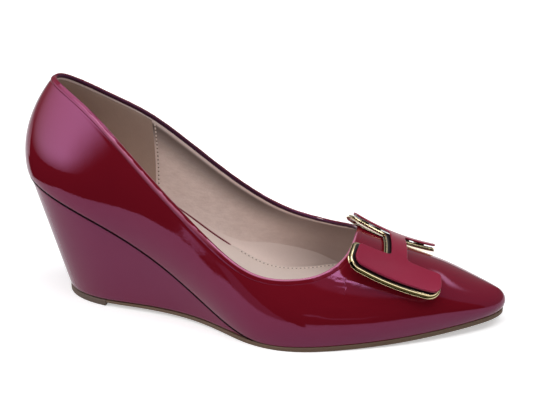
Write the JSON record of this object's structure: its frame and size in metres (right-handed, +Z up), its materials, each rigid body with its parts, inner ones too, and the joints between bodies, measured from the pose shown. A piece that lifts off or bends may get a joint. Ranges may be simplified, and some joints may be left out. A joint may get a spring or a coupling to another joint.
{
  "type": "wedge court shoe",
  "caption": "Right pointed-toe court shoe in burgundy patent on a covered wedge, open at the collar, with a gold-framed flat bow on the vamp.",
  "frame": {"origin": "on the floor, under the middle of the shoe's box", "axes": "+X from heel to toe, +Y to the medial side, +Z up"},
  "size_m": [0.2318, 0.0828, 0.1095],
  "materials": {
    "patent_leather": "high-gloss patent",
    "sock_lining": "matt grained lining",
    "wedge_cover": "high-gloss patent",
    "lift_rubber": "matt",
    "outsole_tan": "matt",
    "polished_gold": "polished",
    "satin_burgundy": "satin"
  },
  "bodies": {
    "root": {"upper": "patent_leather", "insole": "sock_lining", "wedge_heel": "wedge_cover", "heel_lift": "lift_rubber", "outsole": "outsole_tan", "bow_frame": "polished_gold", "bow_plate": "satin_burgundy"}
  },
  "joints": []
}
